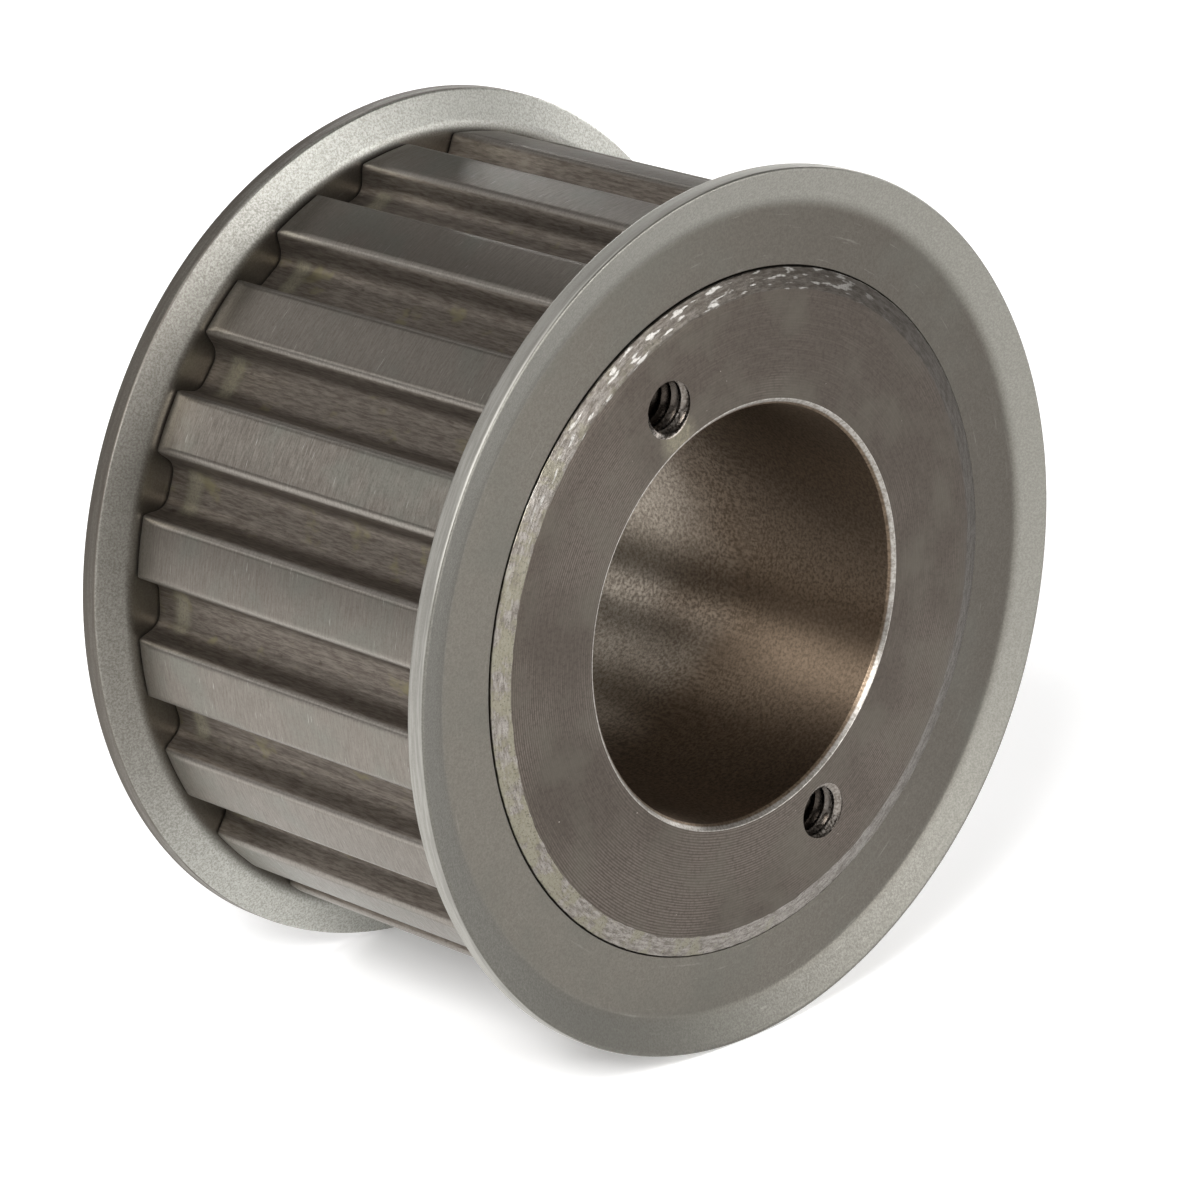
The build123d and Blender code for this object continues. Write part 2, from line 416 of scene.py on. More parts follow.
# %% Thread
PITCH = 1.27
MAJOR = 3.175
MINOR = MAJOR - 0.625
THREAD_DEPTH = 19.0
DRILL_DEPTH = 24.0
POINT = MINOR / math.tan(math.radians(59))
HOLE_STEPS = 88
CORNER = 0.025  # how far each thread corner is broken
SCREW_CIRCLE = MOUTH + 4.7625
FIRST_SCREW = 115.0
root_half = PITCH / 16
crest_half = root_half + (MAJOR - MINOR) * math.tan(math.radians(30))
slant = CORNER * math.sqrt(3)
thread_place = np.array([root_half - CORNER, root_half + CORNER, crest_half - CORNER, crest_half + CORNER])
thread_radius = np.array([MAJOR, MAJOR - slant, MINOR + slant, MINOR])
thread_place = np.concatenate([thread_place, PITCH - thread_place[::-1]])
thread_radius = np.concatenate([thread_radius, thread_radius[::-1]])


def thread_grid():
    """Radius, depth and angle in the hole. depth = row + pitch * angle / turn, held between the face and
    the end of the thread, and the radius is the profile's at (depth - pitch * angle / turn) mod pitch."""
    angle = np.linspace(0, TURN, HOLE_STEPS + 1)
    climb = PITCH * angle / TURN
    turns = np.arange(-1, math.ceil(THREAD_DEPTH / PITCH) + 1)
    row = (turns[:, None] * PITCH + thread_place).ravel()
    row = np.concatenate([[-PITCH], row])[:, None]
    depth = np.clip(row + climb, 0, THREAD_DEPTH)
    radius = np.interp(depth - climb, thread_place, thread_radius, period=PITCH)
    wall = np.array([MINOR, MINOR, 0.0])[:, None] + 0 * angle
    wall_depth = np.array([THREAD_DEPTH, DRILL_DEPTH, DRILL_DEPTH + POINT])[:, None] + 0 * angle
    radius = np.concatenate([radius, wall])
    depth = np.concatenate([depth, wall_depth])
    return radius, depth, angle


def place_in_hole(radius, depth, angle, screw):
    """From the hole's own (radius, depth, angle) to the pulley's frame. The angle starts opposite the
    way round and turns towards the rim, so that the groove leaves the face where the real one does."""
    out = np.array([math.cos(screw), 0, math.sin(screw)])
    way = np.array([math.sin(screw), 0, -math.cos(screw)])
    turn = angle - np.pi / 2
    across = radius[..., None] * (np.cos(turn)[..., None] * out + np.sin(turn)[..., None] * way)
    return across + SCREW_CIRCLE * out + (depth - FACE)[..., None] * np.array([0, 1, 0])


screws = [math.radians(FIRST_SCREW), math.radians(FIRST_SCREW + 180)]
hole_radius, hole_depth, hole_angle = thread_grid()
holes = [place_in_hole(hole_radius, hole_depth, hole_angle, screw) for screw in screws]
print("each tapped hole:", holes[0].shape[:2], "points")

# %% [markdown]
# ## The faces
#
# A flat ring is easy, but the front one has two holes in it. Round each hole a patch of the ring is left
# out, eighteen degrees wide, and filled with a grid that runs from the hole's edge out to the patch's
# border. Both have the same number of points, so every surface still meets its neighbour point for point.

# %% Front and rear face
FACE_ROWS = 8
PATCH_STEPS = HOLE_STEPS // 2 - FACE_ROWS  # columns of the ring that one patch takes


def face_ring(outer, inner):
    """Straight rows between two closed lines of points."""
    share = np.linspace(0, 1, FACE_ROWS + 1)[:, None, None]
    return outer * (1 - share) + inner * share


def hole_patch(ring, first, edge):
    """From the hole's edge to the border of the patch. The border is walked the same way round as the
    hole: from the middle of the side, along the outer line, down the far side and back on the inner."""
    last = first + PATCH_STEPS
    middle = FACE_ROWS // 2
    border = np.concatenate(
        [
            ring[middle:0:-1, last],
            ring[0, last:first:-1],
            ring[:FACE_ROWS, first],
            ring[FACE_ROWS, first:last],
            ring[FACE_ROWS : middle - 1 : -1, last],
        ]
    )
    share = (np.linspace(0, 1, 8) ** 1.3)[:, None, None]
    return edge * (1 - share) + border * share


front_ring = closed(face_ring(front_lip[-1], bore[0]))
rear_ring = closed(face_ring(rear_lip[-1], bore[-1]))[:: FACE_ROWS // 2]
pieces_of_face = []
column = 0
for screw, hole in zip(screws, holes):
    first = round(screw / TURN * STEPS_ROUND) - PATCH_STEPS // 2
    pieces_of_face.append(front_ring[:, column : first + 1])
    pieces_of_face.append(hole_patch(front_ring, first, hole[0]))
    column = first + PATCH_STEPS
pieces_of_face.append(front_ring[:, column:])
print("front face:", len(pieces_of_face), "patches")

# %% [markdown]
# ## The flanges
#
# Each flange is a ring pressed from sheet: a flat, a bend, and a rim that leans away from the belt. The
# section is the same on both sides of the sheet, so the bend's outer radius is its inner one plus the
# sheet's thickness. The pressed rim is never perfectly round, so a slow wave of a few hundredths of a
# millimetre grows towards its edge.

# %% Flange
FLARE_RUN = 3.75
FLARE = np.radians(20.5)
BEND = 1.2
RIM_ROUNDING = 0.3


def flange_grid(side):
    """The section turned about the axis, with r + wave * share, where the share grows along the flare."""
    bend = RIM - FLARE_RUN
    inner_bend = bend + SHEET * np.tan(FLARE / 2)
    corners = [
        (REGISTER, CHANNEL, 0),
        (inner_bend, CHANNEL, BEND + SHEET),
        (RIM, CHANNEL + (RIM - inner_bend) * np.tan(FLARE), RIM_ROUNDING),
        (RIM, FLAT + FLARE_RUN * np.tan(FLARE), RIM_ROUNDING),
        (bend, FLAT, BEND),
        (REGISTER + COUNTERSINK, FLAT, 0.04),
        (REGISTER, FLAT - COUNTERSINK, 0),
    ]
    outline = divided(rounded(corners + corners[:1]), 1.2)[:-1]
    grow = np.clip((outline[:, :1] - bend) / FLARE_RUN, 0, 1)
    radius = outline[:, :1] + grow * (wave(ROUND, 61 + side, 0.02, (2, 9)) - 0.02)
    place = outline[:, 1:] + grow * wave(ROUND, 71 + side, 0.02, (2, 7))
    grid = closed(around(radius, side * place, ROUND))
    return np.concatenate([grid, grid[:1]])


print("flange section points:", flange_grid(-1).shape[0])

# %% [markdown]
# ## Finishes
#
# Bare steel has almost no colour of its own. What tells a faced surface from a hobbed or a pressed one
# is the direction and spacing of its tool marks, how sharp its reflection is, and the oil and oxide in
# it. Each finish below is worked out from the piece's own place in space, in millimetres, so it has no
# seam and no stretch. The small class only saves typing: each method adds a node or a few, and gives the
# last one's output. A turn of 0.25 on the anisotropy spreads a reflection across the tool marks.

# %% Finish helper
class Finish:
    """A metal material in the making."""

    def __init__(self, name, anisotropy=0.0):
        self.material = bpy.data.materials.new(name)
        self.material.use_nodes = True
        self.tree = self.material.node_tree
        self.shader = self.tree.nodes["Principled BSDF"]
        self.shader.inputs["Metallic"].default_value = 1.0
        self.shader.inputs["Anisotropic"].default_value = anisotropy
        self.shader.inputs["Anisotropic Rotation"].default_value = 0.25
        if anisotropy:
            self.wire(self.add("ShaderNodeTangent", "Tangent", {}, axis="Y"), "Tangent")
        place = self.add("ShaderNodeTexCoord", "Object", {})
        self.place = self.add("ShaderNodeVectorMath", "Vector", {0: place, 3: 1 / MM}, operation="SCALE")
        parts = self.tree.nodes.new("ShaderNodeSeparateXYZ")
        self.tree.links.new(self.place, parts.inputs[0])
        self.x, self.y, self.z = parts.outputs
        square = self.sum("ADD", self.sum("MULTIPLY", self.x, self.x), self.sum("MULTIPLY", self.z, self.z))
        self.radius = self.sum("SQRT", square)
        self.height = self.sum("ABSOLUTE", self.y)

    def add(self, kind, output, inputs, **settings):
        """One node, with its inputs set to numbers or wired to other nodes."""
        made = self.tree.nodes.new(kind)
        for key, value in settings.items():
            setattr(made, key, value)
        for key, value in inputs.items():
            if isinstance(value, bpy.types.NodeSocket):
                self.tree.links.new(value, made.inputs[key])
            else:
                made.inputs[key].default_value = value
        return made.outputs[output]

    def wire(self, output, socket):
        """An output into the shader."""
        self.tree.links.new(output, self.shader.inputs[socket])

    def sum(self, operation, first, second=0.0):
        """One piece of arithmetic."""
        return self.add("ShaderNodeMath", 0, {0: first, 1: second}, operation=operation)

    def step(self, value, low, high, at_low=0.0, at_high=1.0):
        """A smooth change from one value to another as the input goes from low to high."""
        inputs = {"Value": value, "From Min": low, "From Max": high, "To Min": at_low, "To Max": at_high}
        return self.add("ShaderNodeMapRange", "Result", inputs, interpolation_type="SMOOTHSTEP")

    def noise(self, vector, scale=1.0, detail=2.0, roughness=0.5):
        """Cloudy noise from 0 to 1, mostly near a half."""
        inputs = {"Vector": vector, "Scale": scale, "Detail": detail, "Roughness": roughness}
        return self.add("ShaderNodeTexNoise", "Fac", inputs)

    def stretched(self, x, y, z):
        """A vector whose noise is longer one way than another: a small number makes long marks."""
        return self.add("ShaderNodeVectorMath", "Vector", {0: self.place, 1: (x, y, z)}, operation="MULTIPLY")

    def turned(self, round_it, outwards, along, shift=0.0):
        """A vector whose noise makes marks that follow the turning: slow round the axis, quick across."""
        outward_marks = self.sum("MULTIPLY", self.radius, outwards)
        marks_along = self.sum("MULTIPLY", self.y, along)
        across = self.sum("ADD", outward_marks, marks_along)
        east = self.sum("MULTIPLY", self.sum("DIVIDE", self.x, self.radius), round_it)
        north = self.sum("MULTIPLY", self.sum("DIVIDE", self.z, self.radius), round_it)
        return self.add("ShaderNodeCombineXYZ", 0, {0: east, 1: self.sum("ADD", across, shift), 2: north})

    def facing(self, degrees):
        """1 on the side of the pulley that lies at this angle from +X towards +Z, and -1 opposite."""
        way = (math.cos(math.radians(degrees)), 0, math.sin(math.radians(degrees)))
        reach = self.add("ShaderNodeVectorMath", "Value", {0: self.place, 1: way}, operation="DOT_PRODUCT")
        return self.sum("DIVIDE", reach, self.radius)

    def distance(self, point):
        """How far each place is from a point, in millimetres."""
        return self.add("ShaderNodeVectorMath", "Value", {0: self.place, 1: point}, operation="DISTANCE")

    def mixed(self, share, first, second):
        """A share of one colour in another."""
        inputs = {"Factor": share, "A": first, "B": second}
        made = self.tree.nodes.new("ShaderNodeMix")
        made.data_type = "RGBA"
        sockets = {"Factor": 0, "A": 6, "B": 7}
        for key, value in inputs.items():
            socket = made.inputs[sockets[key]]
            if isinstance(value, bpy.types.NodeSocket):
                self.tree.links.new(value, socket)
            else:
                socket.default_value = value if key == "Factor" else (*value, 1.0)
        return made.outputs[2]

    def relief(self, height, micrometres, under=None):
        """A bump this deep, over another if one is given."""
        inputs = {"Height": height, "Distance": micrometres * 1e-6, "Strength": 1.0}
        if under is not None:
            inputs["Normal"] = under
        return self.add("ShaderNodeBump", "Normal", inputs)

    def done(self, colour, roughness, normal):
        """The finished material."""
        self.wire(colour, "Base Color")
        self.wire(roughness, "Roughness")
        self.wire(normal, "Normal")
        print(f"{self.material.name}: {len(self.tree.nodes)} nodes")
        return self.material


# %% [markdown]
# ### Faced steel
#
# A facing tool leaves a fine spiral, nearly four turns to the millimetre, which reads as rings. Under a
# soft light they show as thin light and dark lines. A grain finer than the rings, a few bright specks
# and broad cloudy patches of oxide keep the ring pattern from looking printed. The rings carry a
# painted sheen towards the lower left, and one spot between a hole and the bore has a painted
# highlight: a bright smear of reflected light.

# %% Faced steel
RINGS = 3.7  # to the millimetre
# A painted highlight: a bright smear of reflected light on the face, between the upper hole and the bore.
HIGHLIGHT_SPOT_RADIUS = 22.2  # between a hole and the bore
highlight_spot_angle = math.radians(FIRST_SCREW + 1)
HIGHLIGHT_SPOT = (HIGHLIGHT_SPOT_RADIUS * math.cos(highlight_spot_angle), -FACE, HIGHLIGHT_SPOT_RADIUS * math.sin(highlight_spot_angle))


def faced_steel():
    finish = Finish("faced_steel", anisotropy=0.35)
    drift = finish.noise(finish.turned(2.0, 0.4, 0.0), 1.0, 2.0)
    turns = finish.sum("MULTIPLY", finish.radius, TURN * RINGS)
    wander = finish.sum("MULTIPLY", drift, 9.0)
    feed = finish.step(finish.sum("SINE", finish.sum("ADD", turns, wander)), -1.0, 1.0)
    loose = finish.noise(finish.turned(9.0, 6.0, 0.0), 1.0, 3.0, 0.65)
    # Painted sheen: the rings are painted stronger and the face lighter towards the lower left, where it is
    # lit.
    lower_left_sheen = finish.sum("MULTIPLY", finish.facing(255), 0.18)
    patches = finish.sum("ADD", finish.noise(finish.place, 0.07, 2.0), lower_left_sheen)
    rings = finish.sum("MULTIPLY", feed, finish.step(patches, 0.42, 0.70, 0.10, 1.0))
    marks = finish.sum("ADD", finish.sum("MULTIPLY", rings, 0.55), finish.sum("MULTIPLY", loose, 0.6))
    grain = finish.noise(finish.place, 2.3, 5.0, 0.8)
    cloud = finish.noise(finish.place, 0.16, 3.0, 0.6)
    colour = finish.mixed(finish.step(marks, 0.2, 0.85), (0.074, 0.062, 0.052), (0.132, 0.112, 0.097))
    colour = finish.mixed(finish.step(grain, 0.44, 0.64, 0.0, 0.60), colour, (0.052, 0.043, 0.036))
    colour = finish.mixed(finish.step(cloud, 0.42, 0.72, 0.0, 0.6), colour, (0.104, 0.095, 0.078))
    speck = finish.step(finish.noise(finish.place, 2.6, 1.0), 0.80, 0.83)
    colour = finish.mixed(speck, colour, (0.30, 0.27, 0.24))
    # Painted highlight: the spot between the upper hole and the bore is painted bright, a little grainy.
    spot_highlight = finish.step(finish.distance(HIGHLIGHT_SPOT), 2.9, 0.9, 0.0, 0.8)
    spot_highlight = finish.sum("MULTIPLY", spot_highlight, finish.step(grain, 0.3, 0.62, 1.0, 0.35))
    colour = finish.mixed(spot_highlight, colour, (0.245, 0.225, 0.165))
    roughness = finish.step(marks, 0.1, 0.9, 0.47, 0.37)
    normal = finish.relief(grain, 7.0, finish.relief(marks, 8.0))
    return finish.done(colour, roughness, normal)


# %% [markdown]
# ### Rolled lip
#
# The roller burnishes the lip but tears it a little too. It is brighter than the face, blotched yellow
# where the metal flowed, and pitted, with smears that run round it. Its lower left side is painted lit
# and the opposite side painted in shade, and bright nicks lie close together on the upper side.

# %% Rolled lip steel
def rolled_steel():
    finish = Finish("rolled_steel")
    smear = finish.noise(finish.turned(26.0, 3.0, 3.0), 1.0, 4.0, 0.7)
    pits = finish.noise(finish.place, 4.6, 3.0, 0.7)
    blotch = finish.noise(finish.place, 0.55, 3.0, 0.6)
    # Painted light: the lip is a lit copy on the lower left and a shaded copy on the opposite side.
    lit_lip_side = finish.step(finish.facing(231), -0.9, 0.9)
    shaded_lip = finish.mixed(finish.step(smear, 0.35, 0.65), (0.048, 0.041, 0.034), (0.088, 0.079, 0.070))
    colour = finish.mixed(finish.step(smear, 0.35, 0.65), (0.150, 0.134, 0.117), (0.300, 0.280, 0.258))
    colour = finish.mixed(finish.step(blotch, 0.50, 0.62, 0.0, 0.55), colour, (0.300, 0.290, 0.272))
    yellow = finish.sum("ADD", finish.sum("MULTIPLY", finish.facing(186), 0.13), blotch)
    colour = finish.mixed(finish.step(yellow, 0.52, 0.68, 0.0, 0.65), colour, (0.205, 0.192, 0.130))
    colour = finish.mixed(lit_lip_side, shaded_lip, colour)
    nick = finish.step(finish.noise(finish.turned(16.0, 1.6, 1.6), 1.0, 2.0), 0.56, 0.66)
    nick = finish.sum("MULTIPLY", nick, finish.step(finish.facing(108), 0.45, 0.9, 0.0, 0.8))
    colour = finish.mixed(nick, colour, (0.36, 0.35, 0.33))
    colour = finish.mixed(finish.step(pits, 0.50, 0.72, 0.0, 0.7), colour, (0.075, 0.066, 0.056))
    roughness = finish.step(pits, 0.35, 0.7, 0.32, 0.5)
    normal = finish.relief(pits, 14.0, finish.relief(smear, 8.0))
    return finish.done(colour, roughness, normal)


# %% [markdown]
# ### Hobbed teeth
#
# The lands of the teeth are the turned outside of the blank, so their marks run round the pulley. The
# grooves are what the hob left: rougher, brown with oil and oxide, with marks along the axis. Oil
# gathers and yellows beside the flanges. The tips' edges carry a painted highlight, and the rolled-down
# tooth ends a painted sheen.

# %% Hobbed steel
def hobbed_steel():
    finish = Finish("hobbed_steel")
    on_land = finish.step(finish.radius, TIP - 0.45, TIP - 0.12)
    in_floor = finish.step(finish.radius, GROOVE_FLOOR + 0.9, GROOVE_FLOOR + 0.3)
    lines = finish.noise(finish.turned(26.0, 0.0, 6.5), 1.0, 4.0, 0.75)
    hair = finish.noise(finish.turned(20.0, 0.0, 6.5, 40.0), 1.0, 1.0)
    long_marks = finish.noise(finish.stretched(4.4, 0.55, 4.4), 1.0, 4.0, 0.72)
    grain = finish.noise(finish.place, 4.0, 3.0, 0.65)
    cloud = finish.noise(finish.place, 0.13, 3.0, 0.6)
    land = finish.mixed(finish.step(lines, 0.3, 0.7), (0.182, 0.161, 0.140), (0.246, 0.226, 0.198))
    land = finish.mixed(finish.step(cloud, 0.45, 0.68, 0.0, 0.65), land, (0.204, 0.205, 0.178))
    land = finish.mixed(finish.step(grain, 0.45, 0.75, 0.0, 0.35), land, (0.120, 0.104, 0.090))
    land = finish.mixed(finish.step(hair, 0.72, 0.79, 0.0, 0.8), land, (0.42, 0.41, 0.38))
    groove = finish.mixed(finish.step(long_marks, 0.32, 0.68), (0.116, 0.097, 0.082), (0.212, 0.187, 0.160))
    spots = finish.noise(finish.stretched(0.8, 0.45, 0.8), 1.0, 3.0, 0.6)
    groove = finish.mixed(finish.step(spots, 0.64, 0.76, 0.0, 0.6), groove, (0.072, 0.058, 0.048))
    near_front = finish.step(finish.y, 7.0 - CHANNEL, 2.0 - CHANNEL, 0.0, 0.22)
    film = finish.sum("ADD", finish.noise(finish.stretched(0.42, 0.3, 0.42), 1.0, 3.0, 0.6), near_front)
    stain = finish.sum("MULTIPLY", finish.step(film, 0.56, 0.74, 0.0, 0.85), in_floor)
    groove = finish.mixed(stain, groove, (0.215, 0.192, 0.118))
    off_rear = finish.sum("ABSOLUTE", finish.sum("SUBTRACT", finish.y, CHANNEL - 3.6))
    dried = finish.sum("MULTIPLY", finish.step(off_rear, 1.5, 0.3, 0.0, 0.8), in_floor)
    dried = finish.sum("MULTIPLY", dried, finish.step(grain, 0.35, 0.65, 0.5, 1.0))
    groove = finish.mixed(dried, groove, (0.330, 0.310, 0.235))
    colour = finish.mixed(on_land, groove, land)
    # Painted highlight along the tips' edges and painted sheen on the tooth ends, broken up by the grain.
    outer_edge = finish.step(finish.radius, TIP - 0.01, TIP - 0.06)
    edge = finish.sum("MULTIPLY", finish.step(finish.radius, TIP - 0.5, TIP - 0.25), outer_edge)
    tooth_end_sheen = finish.step(finish.height, CHANNEL - 2.3, CHANNEL - 1.3, 0.0, 0.7)
    tooth_end_sheen = finish.sum("MULTIPLY", tooth_end_sheen, on_land)
    edge_highlight = finish.sum("MAXIMUM", edge, tooth_end_sheen)
    lit_sheen = finish.sum("MULTIPLY", edge_highlight, finish.step(grain, 0.3, 0.7, 0.95, 0.3))
    colour = finish.mixed(lit_sheen, colour, (0.300, 0.278, 0.250))
    marks = finish.add("ShaderNodeMix", 0, {0: on_land, 2: long_marks, 3: lines})
    rough_land = finish.step(lines, 0.3, 0.7, 0.44, 0.34)
    roughness = finish.add("ShaderNodeMix", 0, {0: on_land, 2: 0.5, 3: rough_land})
    normal = finish.relief(grain, 6.0, finish.relief(marks, 9.0))
    return finish.done(colour, roughness, normal)


# %% [markdown]
# ### Bored steel
#
# A boring tool leaves fine marks round the wall. They spread each reflection across themselves, so that
# the lights become soft streaks that run along the bore. A thin brown film of oil tints the front half,
# which is also painted in shade, with an uneven border, and the deep half is painted lighter where light
# comes in from the rear opening. The chamfer's outer part carries a painted highlight.

# %% Bored steel
def bored_steel():
    finish = Finish("bored_steel", anisotropy=0.85)
    marks = finish.noise(finish.turned(60.0, 0.0, 3.2), 1.0, 3.0, 0.7)
    grain = finish.noise(finish.place, 3.0, 4.0, 0.75)
    cloud = finish.noise(finish.place, 0.09, 2.0)
    both = finish.sum("MULTIPLY", finish.sum("ADD", marks, grain), 0.5)
    # Painted light: the deep wall is painted lighter, and the oil-brown front half is painted darker too.
    dry_and_lit = finish.mixed(finish.step(both, 0.38, 0.62), (0.240, 0.205, 0.168), (0.470, 0.420, 0.352))
    oily_and_shaded = finish.mixed(finish.step(both, 0.38, 0.62), (0.085, 0.063, 0.044), (0.190, 0.143, 0.103))
    film = finish.sum("ADD", finish.sum("MULTIPLY", cloud, 16.0), finish.sum("MULTIPLY", finish.y, -1.0))
    colour = finish.mixed(finish.step(film, -4.0, 13.0), dry_and_lit, oily_and_shaded)
    # Painted highlight: the outer part of the mouth's chamfer is painted bright.
    chamfer = finish.step(finish.radius, MOUTH + 0.16, MOUTH + 0.30)
    chamfer_highlight = finish.mixed(finish.step(both, 0.40, 0.60), (0.26, 0.24, 0.215), (0.44, 0.42, 0.39))
    colour = finish.mixed(chamfer, colour, chamfer_highlight)
    roughness = finish.step(both, 0.35, 0.65, 0.46, 0.36)
    normal = finish.relief(grain, 4.0, finish.relief(marks, 5.0))
    return finish.done(colour, roughness, normal)


# %% [markdown]
# ### Tapped steel
#
# The thread is cut clean, and its first turns stay bright. Deeper than that it is painted dark, as painted
# shade inside the hole.

# %% Tapped steel
def tapped_steel():
    finish = Finish("tapped_steel")
    grain = finish.noise(finish.place, 4.0, 3.0)
    # Painted shade: the thread darkens from a few tenths of a millimetre below the face.
    hole_shade = finish.step(finish.y, 0.4 - FACE, 3.2 - FACE)
    colour = finish.mixed(finish.step(grain, 0.35, 0.7), (0.14, 0.122, 0.105), (0.30, 0.275, 0.25))
    colour = finish.mixed(hole_shade, colour, (0.06, 0.05, 0.042))
    roughness = finish.step(grain, 0.3, 0.7, 0.24, 0.38)
    normal = finish.relief(grain, 6.0)
    return finish.done(colour, roughness, normal)


# %% [markdown]
# ### Pressed sheet
#
# Sheet steel keeps the fine orange peel of the rolling mill. Where the press bent it the peel opens into
# a coarser sparkle. The side of the flare that faces the belt carries a painted highlight, with painted
# shade on its left side. The cut edge of the front rim has a painted highlight and that of the rear one
# is dark. The flat is painted lighter on the left and the flare's outside lighter at the top right, as
# painted light, and a cloudy tone varies at random.

# %% Pressed steel
def pressed_steel():
    finish = Finish("pressed_steel")
    peel = finish.noise(finish.place, 4.6, 4.0, 0.75)
    fine = finish.noise(finish.place, 8.0, 2.0, 0.6)
    rub = finish.noise(finish.turned(9.0, 3.0, 3.0), 1.0, 3.0, 0.6)
    cloud = finish.noise(finish.place, 0.1, 3.0, 0.55)
    bend = RIM - FLARE_RUN
    on_rim = finish.step(finish.radius, bend - 0.6, bend + 1.0)
    lean = finish.sum("MULTIPLY", finish.sum("SUBTRACT", finish.radius, bend), math.tan(FLARE))
    inside = finish.step(finish.sum("SUBTRACT", finish.height, lean), FLAT - 0.7, FLAT - 1.2)
    # Painted light: the flat is a shaded copy on the right and a lit copy on the left.
    lit_left = finish.step(finish.facing(205), -0.9, 0.9)
    shaded_flat = finish.mixed(finish.step(peel, 0.36, 0.66), (0.084, 0.075, 0.064), (0.104, 0.095, 0.081))
    light = finish.mixed(finish.step(peel, 0.36, 0.66), (0.132, 0.121, 0.104), (0.160, 0.150, 0.130))
    colour = finish.mixed(lit_left, shaded_flat, light)
    colour = finish.mixed(finish.step(cloud, 0.46, 0.70, 0.0, 0.4), colour, (0.116, 0.115, 0.100))
    # Painted light: the outside of the flare is a lit copy at the top right and a plainer one opposite.
    lit_top = finish.step(finish.facing(60), -0.9, 0.9)
    lit_sheen = finish.mixed(finish.step(peel, 0.36, 0.66), (0.200, 0.194, 0.172), (0.258, 0.252, 0.226))
    plain = finish.mixed(finish.step(peel, 0.36, 0.66), (0.118, 0.113, 0.099), (0.158, 0.153, 0.136))
    outer = finish.mixed(lit_top, plain, lit_sheen)
    # Painted highlight: the side of the flare that faces the belt is painted bright, and painted in shade on
    # the left.
    inner = finish.mixed(finish.step(peel, 0.38, 0.62), (0.330, 0.325, 0.292), (0.520, 0.520, 0.485))
    shaded = finish.mixed(finish.step(peel, 0.38, 0.62), (0.165, 0.155, 0.135), (0.250, 0.240, 0.215))
    inner = finish.mixed(finish.step(finish.facing(170), 0.5, 0.95), inner, shaded)
    colour = finish.mixed(on_rim, colour, finish.mixed(inside, outer, inner))
    colour = finish.mixed(finish.step(rub, 0.62, 0.76, 0.0, 0.25), colour, (0.28, 0.27, 0.245))
    # Painted highlight on the front rim's cut edge; the rear rim's cut edge is dark.
    cut = finish.step(finish.radius, RIM - 0.12, RIM - 0.06)
    cut_edge_highlight_and_tone = finish.mixed(finish.step(finish.y, -1.0, 1.0), (0.440, 0.430, 0.400), (0.130, 0.114, 0.098))
    cut_share = finish.sum("MULTIPLY", cut, finish.step(rub, 0.35, 0.6, 0.9, 0.6))
    colour = finish.mixed(cut_share, colour, cut_edge_highlight_and_tone)
    roughness = finish.step(peel, 0.3, 0.7, 0.46, 0.34)
    roughness = finish.add("ShaderNodeMix", 0, {0: cut, 2: roughness, 3: 0.62})
    depth = finish.sum("MULTIPLY", peel, finish.step(on_rim, 0.0, 1.0, 0.4, 1.0))
    normal = finish.relief(fine, 3.0, finish.relief(depth, 12.0))
    return finish.done(colour, roughness, normal)


# %% [markdown]
# ## The pieces
#
# The hub takes five finishes, one for each way it was cut, and each flange takes one. Each new piece
# is joined to the root body, and the plain CAD node that it replaces is hidden.

# %% Put the pieces together
HOBBED, ROLLED, FACED, BORED, TAPPED = range(5)
on_face = 2  # rows of the bore's outline that still lie on a face
hub_patches = [(closed(rim), HOBBED)]
hub_patches += [(closed(step), HOBBED) for step in (front_step, rear_step)]
hub_patches += [(closed(lip), ROLLED) for lip in (front_lip, rear_lip)]
hub_patches += [(grid, FACED) for grid in pieces_of_face + [rear_ring]]
hub_patches += [(closed(bore[:on_face]), FACED), (closed(bore[-on_face:]), FACED)]
hub_patches += [(closed(bore[on_face - 1 : 1 - on_face]), BORED)]
hub_patches += [(hole, TAPPED) for hole in holes]
hub_finishes = [hobbed_steel(), rolled_steel(), faced_steel(), bored_steel(), tapped_steel()]
hub = make_piece("hub", hub_patches, hub_finishes, sharp_angle=38)
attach(hub, "root")
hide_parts("toothed_hub")

sheet_finish = pressed_steel()
for name, side in (("front_flange", -1), ("rear_flange", 1)):
    flange = make_piece(f"{name}_sheet", [(flange_grid(side), 0)], [sheet_finish], sharp_angle=38)
    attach(flange, "root")
    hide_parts(name)

# %% [markdown]
# ## The floor
#
# The pulley rests on its two rims on a sheet of pale paper. The paper glows a little by itself, which
# lifts it nearly to white and keeps the shadow faint.

# %% Floor
FLOOR_HALF = 2.5
floor_mesh = bpy.data.meshes.new("floor")
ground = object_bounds()[0].z
floor_corners = [(-FLOOR_HALF, -FLOOR_HALF, ground), (FLOOR_HALF, -FLOOR_HALF, ground)]
floor_corners += [(FLOOR_HALF, FLOOR_HALF, ground), (-FLOOR_HALF, FLOOR_HALF, ground)]
floor_mesh.from_pydata(floor_corners, [], [(0, 1, 2, 3)])
floor = bpy.data.objects.new("floor", floor_mesh)
bpy.context.scene.collection.objects.link(floor)
paper = bpy.data.materials.new("pale_paper")
paper.use_nodes = True
paper_shader = paper.node_tree.nodes["Principled BSDF"].inputs
paper_shader["Base Color"].default_value = (0.9, 0.9, 0.9, 1)
paper_shader["Roughness"].default_value = 0.9
paper_shader["Emission Color"].default_value = (1, 1, 1, 1)
paper_shader["Emission Strength"].default_value = 0.3
floor_mesh.materials.append(paper)
print(f"floor at {ground / MM:.2f} mm")


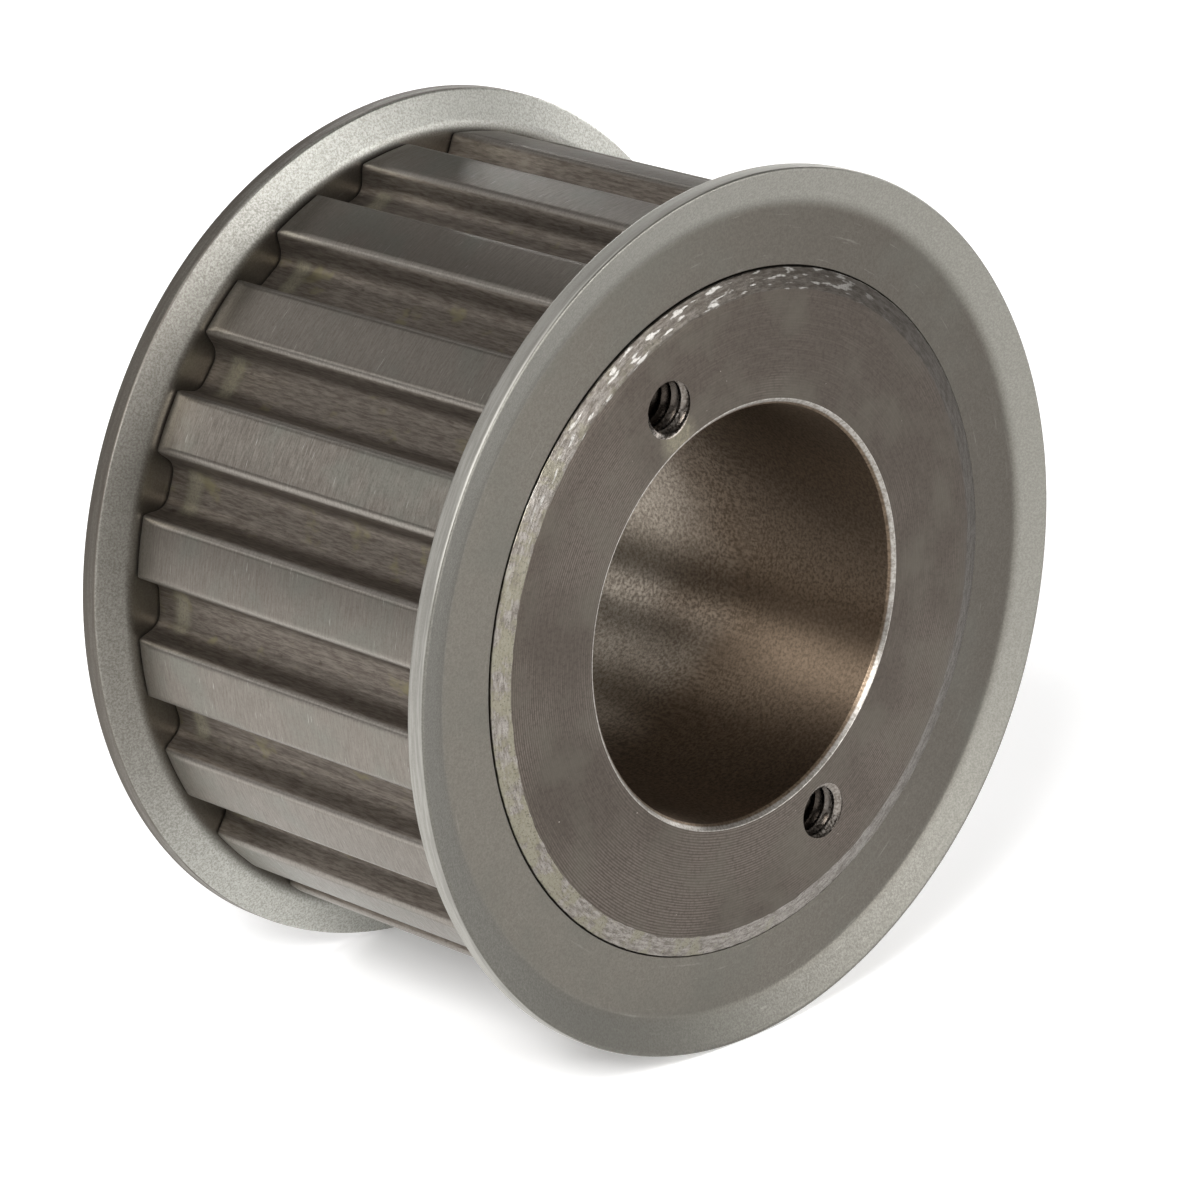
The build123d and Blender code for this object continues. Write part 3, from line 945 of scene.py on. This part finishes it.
# %% [markdown]
# ## The lights
#
# A metal shows its surroundings more than itself, so where the lights stand matters more than how strong
# they are. Nine soft rectangles stand round the pulley, low in front, at the sides and behind, so that
# each flat and flare has something to reflect. The strongest stands to the front left, fairly high, and a
# large one overhead fills the floor. A faint warm sky stands for the rest of the room.

# %% Lights
def direction(azimuth, elevation):
    """From the pulley out to a place round it: azimuth 0 is in front of its face, 90 on its right."""
    a, e = math.radians(azimuth), math.radians(elevation)
    return Vector((math.sin(a) * math.cos(e), -math.cos(a) * math.cos(e), math.sin(e)))


def softbox(name, azimuth, elevation, distance, width, height, power):
    """A rectangular light that faces the pulley."""
    light = bpy.data.lights.new(name, "AREA")
    light.shape = "RECTANGLE"
    light.size, light.size_y = width, height
    light.energy = power
    lamp = bpy.data.objects.new(name, light)
    lamp.location = direction(azimuth, elevation) * distance
    lamp.rotation_euler = (-direction(azimuth, elevation)).to_track_quat("-Z", "Y").to_euler()
    bpy.context.scene.collection.objects.link(lamp)
    print(f"{name}: {power} W at {distance} m")


# name, azimuth, elevation, distance, width and height in metres, power in watts
LIGHTS = [
    ("key_light", -60, 35, 0.9, 0.30, 0.30, 10.0),
    ("front_light", 5, 12, 0.9, 0.30, 0.22, 2.7),
    ("front_right_light", 30, 10, 0.9, 0.36, 0.20, 1.8),
    ("right_light", 80, 12, 0.9, 0.30, 0.20, 1.1),
    ("far_right_light", 110, 20, 0.9, 0.30, 0.30, 2.6),
    ("rear_right_light", 150, 12, 0.9, 0.30, 0.20, 3.2),
    ("left_rear_light", -135, 22, 0.8, 0.20, 0.15, 0.40),
    ("rear_light", -165, 35, 0.9, 0.30, 0.30, 0.45),
    ("overhead_light", 135, 62, 1.2, 0.80, 0.80, 1.9),
]
for settings in LIGHTS:
    softbox(*settings)
world = bpy.data.worlds.new("studio")
bpy.context.scene.world = world
world.use_nodes = True
world.node_tree.nodes["Background"].inputs["Color"].default_value = (1.0, 0.9, 0.82, 1)
world.node_tree.nodes["Background"].inputs["Strength"].default_value = 0.07
bpy.context.scene.view_settings.view_transform = "Standard"

# %% [markdown]
# ## The camera
#
# A long lens from well back keeps both flanges nearly the same shape. The camera stands to the front left
# and looks down a little, so that the face, the bore and the teeth all show. It is moved slightly
# sideways and down along its own axes to place the pulley in the frame.

# %% Camera
AZIMUTH = -45.47
ELEVATION = 18.65
LENS = 163.95
DISTANCE = 12.31  # this and the two moves are in rim radii
MOVE_RIGHT = 0.0517
MOVE_DOWN = 0.083
rim_radius_m = RIM * MM
back = direction(AZIMUTH, ELEVATION)
right = Vector((math.cos(math.radians(AZIMUTH)), math.sin(math.radians(AZIMUTH)), 0))
up = back.cross(right)
stand = back * DISTANCE * rim_radius_m + right * MOVE_RIGHT * rim_radius_m - up * MOVE_DOWN * rim_radius_m
camera = bpy.data.objects.new("camera", bpy.data.cameras.new("camera"))
camera.data.lens = LENS
camera.data.sensor_width = 36
camera.matrix_world = Matrix((right, up, back)).transposed().to_4x4()
camera.location = stand
bpy.context.scene.collection.objects.link(camera)
bpy.context.scene.camera = camera
print(f"camera {stand.length:.3f} m from the pulley's middle")
